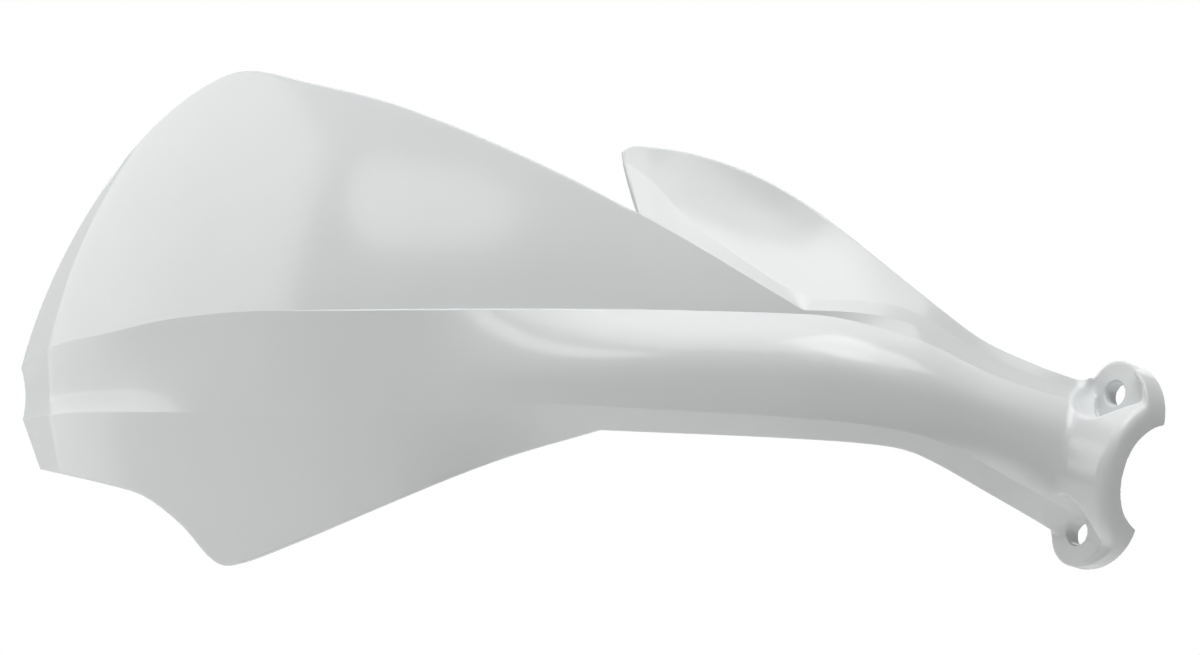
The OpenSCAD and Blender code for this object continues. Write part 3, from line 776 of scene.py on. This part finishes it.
def foot(x, y, z):
    """The whole foot: arm and half clamp, less saddle, holes and seats. Negative inside."""
    b, k, h = local_axes(x, y, z)
    w = CLAMP_W / 2
    h = h + 0 * k  # to the shape of the whole grid
    rad = np.hypot(k, h)
    drum = soft_max(round_max(rad - DRUM_R, b - w, CLAMP_EDGE_R), -w - b, SOFT_DRUM)
    block = soft_min(soft_max(-RIM_K - k, -h, SOFT_SPLIT), -SEAT_K - k, SOFT_DRUM)
    body = soft_max(soft_min(drum, block, SOFT_JOIN), clamp_outline(b, h), SOFT_SEAT)
    upper = np.hypot(b, h - BOLT_H) - UPPER_SEAT_R
    pocket = np.minimum(upper, polygon_distance(POCKET, b, h - BOLT_H))
    body = soft_max(body, -soft_max(pocket, k + SEAT_K, SOFT_SEAT), SOFT_POCKET)
    seat = np.hypot(b, h + BOLT_H) - LOWER_SEAT_R
    body = soft_max(body, -soft_max(seat, k + SEAT_K, SOFT_SEAT), SOFT_SEAT)
    f = soft_min(body, np.maximum(arm_foot(x, y, z), x - X_ROOT), SOFT_JOIN)
    f = soft_max(f, np.minimum(k + SPLIT, b + 2 * CLAMP_W), SOFT_SPLIT)
    f = soft_max(f, BAR_R - rad, SOFT_HOLE)
    relief = rad - BAR_R - np.clip(-b - w - 0.2, 0, BAR_RELIEF)
    f = soft_max(f, -np.maximum(relief, b + w), SOFT_HOLE)
    for side in (-1, 1):
        f = soft_max(f, BOLT_R - np.hypot(b, h - side * BOLT_H), SOFT_HOLE)
    return f


def part_diagonals(value):
    """Opens grid squares with only two opposite corners inside, where four faces would meet."""
    found = True
    while found:
        found = False
        for a in range(3):
            v = np.moveaxis(value, a, 0)
            s = v < 0
            p, q = s[:, :-1, :-1], s[:, 1:, :-1]
            cross = (p == s[:, 1:, 1:]) & (q == s[:, :-1, 1:]) & (p != q)
            for i, j, k in np.argwhere(cross):
                corners = [(i, j, k), (i, j + 1, k), (i, j, k + 1), (i, j + 1, k + 1)]
                nearest = max((c for c in corners if v[c] < 0), key=lambda c: v[c], default=None)
                if nearest is not None:
                    v[nearest] = 1e-3
                    found = True


def surface_net(f, low, shape, step):
    """Closed mesh of quads round the points where f is negative on a regular grid."""
    axes = [low[a] + step * np.arange(shape[a]) for a in range(3)]
    value = f(*np.meshgrid(*axes, indexing="ij", sparse=True))
    value[value == 0] = 1e-9
    part_diagonals(value)
    cells = tuple(n - 1 for n in shape)
    total, count = np.zeros(cells + (3,)), np.zeros(cells)
    crossings = []
    for a in range(3):
        first = [slice(None)] * 3
        second = [slice(None)] * 3
        first[a], second[a] = slice(None, -1), slice(1, None)
        v0, v1 = value[tuple(first)], value[tuple(second)]
        hit = (v0 < 0) != (v1 < 0)
        t = np.where(hit, v0 / np.where(hit, v0 - v1, 1), 0)
        crossings.append((hit, v0 < 0))
        others = [c for c in range(3) if c != a]
        for p in (0, 1):
            for q in (0, 1):
                pick = [slice(None)] * 3
                pick[others[0]] = slice(p, p + cells[others[0]])
                pick[others[1]] = slice(q, q + cells[others[1]])
                here = hit[tuple(pick)]
                where = np.zeros(cells + (3,))
                where[..., a] = t[tuple(pick)]
                where[..., others[0]] = p
                where[..., others[1]] = q
                total += where * here[..., None]
                count += here
    number = -np.ones(cells, int)
    used = count > 0
    number[used] = np.arange(used.sum())
    corner = np.argwhere(used)
    vertices = np.array(low) + step * (corner + total[used] / count[used][:, None])
    quads = []
    for a in range(3):
        hit, inside = crossings[a]
        b, c = (a + 1) % 3, (a + 2) % 3
        at = np.argwhere(hit)
        for other in (b, c):
            at = at[(at[:, other] > 0) & (at[:, other] < shape[other] - 1)]
        flip = ~inside[at[:, 0], at[:, 1], at[:, 2]]
        ring = []
        for db, dc in ((-1, -1), (0, -1), (0, 0), (-1, 0)):
            cell = at.copy()
            cell[:, b] += db
            cell[:, c] += dc
            ring.append(number[cell[:, 0], cell[:, 1], cell[:, 2]])
        ring = np.stack(ring, 1)
        ring[flip] = ring[flip][:, ::-1]
        quads.append(ring)
    return vertices, np.concatenate(quads)


def gradient(f, p, d=0.02):
    g = np.empty_like(p)
    for a in range(3):
        e = np.zeros(3)
        e[a] = d
        g[:, a] = (f(*(p + e).T) - f(*(p - e).T)) / (2 * d)
    return g


def build_root():
    """The foot as a mesh, drawn in to the true surface and shaded by the surface's own slope."""
    def sunk(x, y, z):
        # Outboard of the seam the foot runs on inside the shell, and ends there
        deep = SEAM_SINK * np.maximum(0, (SEAM_X + SEAM_HALF - x) / (2 * SEAM_HALF))
        return np.maximum(foot(x, y, z) + deep, FOOT_START_X - x)

    step = 0.45
    low, high = (FOOT_START_X - 0.7, -32.0, -28.0), (15.0, 9.0, 47.0)
    shape = tuple(int((high[a] - low[a]) / step) + 2 for a in range(3))
    v, quads = surface_net(sunk, low, shape, step)
    for _ in range(2):
        value = sunk(*v.T)
        g = gradient(sunk, v)
        size = np.maximum((g * g).sum(1), 0.05)
        v = v - np.clip(value / size, -0.15, 0.15)[:, None] * g
    n = gradient(foot, v, 0.05)
    n /= np.maximum(length(n), 1e-9)[:, None]
    end = v[:, 0] < FOOT_START_X + 0.05
    n[end] = (-1, 0, 0)
    return mesh_object("guard_root", v, quads.tolist(), n)


root = build_root()


# ---------------------------------------------------------------- ribs behind the arm

RIB_START = 0.6 * WALL     # depth behind the front skin at which ribs and web begin
WEB_SECTIONS = 40


def build_ribs():
    """Cross ribs and the long web, each a closed plate that stands in the wall of the arm."""
    vertices, faces = [], []

    def plate(outline, x):
        n = len(outline)
        start = len(vertices)
        for dx in (-RIB_T / 2, RIB_T / 2):
            vertices.extend((x + dx, y, z) for y, z in outline)
        faces.append([start + m for m in range(n)])
        faces.append([start + n + m for m in reversed(range(n))])
        for m in range(n):
            k = (m + 1) % n
            faces.append([start + k, start + m, start + n + m, start + n + k])

    # The CAD part's coarser stations set the ribs' places
    coarse = np.concatenate([
        np.linspace(X_FIN, X_TIP, 10)[:-1],
        np.linspace(X_TIP, X_ROOT, 15),
    ])
    first, last = 4, len(coarse) - 3
    for k in range(RIB_COUNT):
        x = coarse[int(round(mix(first, last, k / (RIB_COUNT - 1))))]
        if x > SEAM_X:
            continue
        i = int(np.argmin(np.abs(stations - x)))
        top = J_CREASE if x < X_TIP + 5 else J_FOLD + 11
        rows = list(range(2, top + 1, 4))
        inner = [front[i, j] + RIB_START * np.array([0, 1, 0]) for j in rows]
        outline = [(p[1], p[2]) for p in inner]
        outline += [(back[i, top, 1] + 1, back[i, top, 2]), (back[i, 2, 1] + 1, back[i, 2, 2] + 1)]
        plate(outline, x)
    # The long web, as sections joined into one closed bar
    web_end = SEAM_X + 3
    xs = np.linspace(coarse[1], web_end, WEB_SECTIONS)
    t = np.linspace(0, 1, WEB_SECTIONS) * (web_end - coarse[1]) / (coarse[-2] - coarse[1])
    z = mix(z_low_crease(xs), z_crease(xs), round_mid(xs))
    y0 = spine(xs) + RIB_START
    y1 = spine(xs) + mix(WALL + 1, WEB_DEPTH, ease(0, 0.35, t))
    start = len(vertices)
    for m in range(WEB_SECTIONS):
        vertices.extend([
            (xs[m], y0[m], z[m] - RIB_T / 2), (xs[m], y0[m], z[m] + RIB_T / 2),
            (xs[m], y1[m], z[m] + RIB_T / 2), (xs[m], y1[m], z[m] - RIB_T / 2),
        ])
    faces.append([start + c for c in (3, 2, 1, 0)])
    faces.append([start + 4 * (WEB_SECTIONS - 1) + c for c in (0, 1, 2, 3)])
    for m in range(WEB_SECTIONS - 1):
        for c in range(4):
            a, b = start + 4 * m + c, start + 4 * m + (c + 1) % 4
            faces.append([a, b, b + 4, a + 4])
    ribs = mesh_object("guard_ribs", vertices, faces)
    ribs.data.polygons.foreach_set("use_smooth", np.zeros(len(ribs.data.polygons), bool))
    return ribs


ribs = build_ribs()


# ---------------------------------------------------------------- material

def white_plastic():
    material = bpy.data.materials.new("white_plastic")
    material.use_nodes = True
    nodes, links = material.node_tree.nodes, material.node_tree.links
    shader = nodes["Principled BSDF"]
    place = nodes.new("ShaderNodeTexCoord")

    def noise(scale, detail, roughness=0.5):
        n = nodes.new("ShaderNodeTexNoise")
        n.inputs["Scale"].default_value = scale
        n.inputs["Detail"].default_value = detail
        n.inputs["Roughness"].default_value = roughness
        links.new(place.outputs["Object"], n.inputs["Vector"])
        return n

    def spread(source, low, high):
        m = nodes.new("ShaderNodeMapRange")
        m.inputs["From Min"].default_value = 0.3
        m.inputs["From Max"].default_value = 0.7
        m.inputs["To Min"].default_value = low
        m.inputs["To Max"].default_value = high
        links.new(source, m.inputs["Value"])
        return m.outputs["Result"]

    # Slow drift of the tone over centimetres, and of the roughness over a millimetre
    tone = nodes.new("ShaderNodeMix")
    tone.data_type = "RGBA"
    tone.inputs["A"].default_value = (0.775, 0.793, 0.794, 1)
    tone.inputs["B"].default_value = (0.80, 0.816, 0.817, 1)
    links.new(spread(noise(22, 2).outputs["Fac"], 0, 1), tone.inputs["Factor"])
    links.new(tone.outputs["Result"], shader.inputs["Base Color"])
    links.new(spread(noise(900, 3).outputs["Fac"], 0.13, 0.19), shader.inputs["Roughness"])
    shader.inputs["IOR"].default_value = 1.49

    # Fine grain of the mould, about a quarter of a millimetre
    bump = nodes.new("ShaderNodeBump")
    bump.inputs["Strength"].default_value = 0.12
    bump.inputs["Distance"].default_value = 0.00002
    links.new(noise(4200, 3, 0.6).outputs["Fac"], bump.inputs["Height"])
    links.new(bump.outputs["Normal"], shader.inputs["Normal"])
    return material


plastic = white_plastic()
for piece in (shell, root, ribs):
    piece.data.materials.append(plastic)
    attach(piece, "root")
    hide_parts("hand_guard")


# ---------------------------------------------------------------- studio

def plain_material(name, color, roughness):
    material = bpy.data.materials.new(name)
    material.use_nodes = True
    shader = material.node_tree.nodes["Principled BSDF"]
    shader.inputs["Base Color"].default_value = color
    shader.inputs["Roughness"].default_value = roughness
    return material


MIDDLE = Vector((-0.135, 0.02, 0.04))
LAMP_AWAY = 0.95


def area_lamp(name, azimuth, elevation, size, power):
    """Soft lamp aimed at the guard's middle; azimuth 0 is the camera's side, 90 the clamp's."""
    lamp = bpy.data.lights.new(name, "AREA")
    lamp.shape = "RECTANGLE"
    lamp.size, lamp.size_y = size
    lamp.energy = power
    o = bpy.data.objects.new(name, lamp)
    bpy.context.scene.collection.objects.link(o)
    a, e = math.radians(azimuth), math.radians(elevation)
    away = Vector((math.sin(a) * math.cos(e), -math.cos(a) * math.cos(e), math.sin(e)))
    o.location = MIDDLE + LAMP_AWAY * away
    o.rotation_euler = (-away).to_track_quat("-Z", "Y").to_euler()
    return o


# The floor is below the guard, out of the camera's own view
bpy.ops.mesh.primitive_plane_add(size=3.0, location=(-0.135, 0.0, -0.25))
floor = bpy.context.object
floor.name = "floor"
floor.data.materials.append(plain_material("floor_pale", (0.85, 0.85, 0.85, 1), 0.6))

# Softboxes: two wide ones overhead, one above the clamp's side, a weak one in front of it, a
# small round one, a wide one and a low one to the left, and a wide one behind
area_lamp("softbox_top", 3, 74, (1.0, 0.9), 4.4)
area_lamp("softbox_top_back", 180, 66, (1.0, 0.5), 1.1)
area_lamp("softbox_clamp_side", 50, 60, (0.6, 0.6), 3.4)
area_lamp("softbox_front", 25, 45, (0.5, 0.5), 1.0)
area_lamp("softbox_small", -44, 32.5, (0.32, 0.22), 0.5).data.shape = "ELLIPSE"
area_lamp("softbox_left", -90, 20, (0.9, 0.7), 4.2)
area_lamp("softbox_left_low", -103, -7, (0.4, 0.3), 0.55)
area_lamp("softbox_back", 180, 25, (1.2, 0.8), 2.8)


def studio_world():
    """The object sees a dim room, brighter behind it; the camera sees plain white."""
    world = bpy.data.worlds.new("studio")
    bpy.context.scene.world = world
    world.use_nodes = True
    nodes, links = world.node_tree.nodes, world.node_tree.links
    nodes.clear()
    direction = nodes.new("ShaderNodeTexCoord")
    axes = nodes.new("ShaderNodeSeparateXYZ")
    links.new(direction.outputs["Generated"], axes.inputs["Vector"])

    def glow(total, axis, strength):
        """Adds light that rises towards the positive side of an axis."""
        side = nodes.new("ShaderNodeMath")
        side.operation = "MAXIMUM"
        side.inputs[1].default_value = 0.0
        links.new(axes.outputs[axis], side.inputs[0])
        add = nodes.new("ShaderNodeMath")
        add.operation = "MULTIPLY_ADD"
        add.inputs[1].default_value = strength
        add.inputs[2].default_value = 0.0
        links.new(side.outputs["Value"], add.inputs[0])
        if total is not None:
            links.new(total, add.inputs[2])
        return add.outputs["Value"]

    dim, bright = (nodes.new("ShaderNodeBackground") for _ in range(2))
    for background in (dim, bright):
        background.inputs["Color"].default_value = (1, 1, 1, 1)
        background.inputs["Strength"].default_value = 1.0
    links.new(glow(glow(None, "Y", 0.5), "Z", 0.03), dim.inputs["Strength"])
    path = nodes.new("ShaderNodeLightPath")
    choose = nodes.new("ShaderNodeMixShader")
    output = nodes.new("ShaderNodeOutputWorld")
    links.new(path.outputs["Is Camera Ray"], choose.inputs["Fac"])
    links.new(dim.outputs["Background"], choose.inputs[1])
    links.new(bright.outputs["Background"], choose.inputs[2])
    links.new(choose.outputs["Shader"], output.inputs["Surface"])


studio_world()

# The camera looks straight along +Y at the front, as in the photograph
camera_data = bpy.data.cameras.new("camera")
camera_data.type = "ORTHO"
# The width of the photograph, 1200 pixels at 3.85 pixels for each millimetre
camera_data.ortho_scale = 0.3117
camera = bpy.data.objects.new("camera", camera_data)
bpy.context.scene.collection.objects.link(camera)
camera.location = (-0.1336, -1.5, 0.0365)
camera.rotation_euler = (math.pi / 2, 0, 0)
bpy.context.scene.camera = camera
bpy.context.scene.view_settings.view_transform = "Standard"
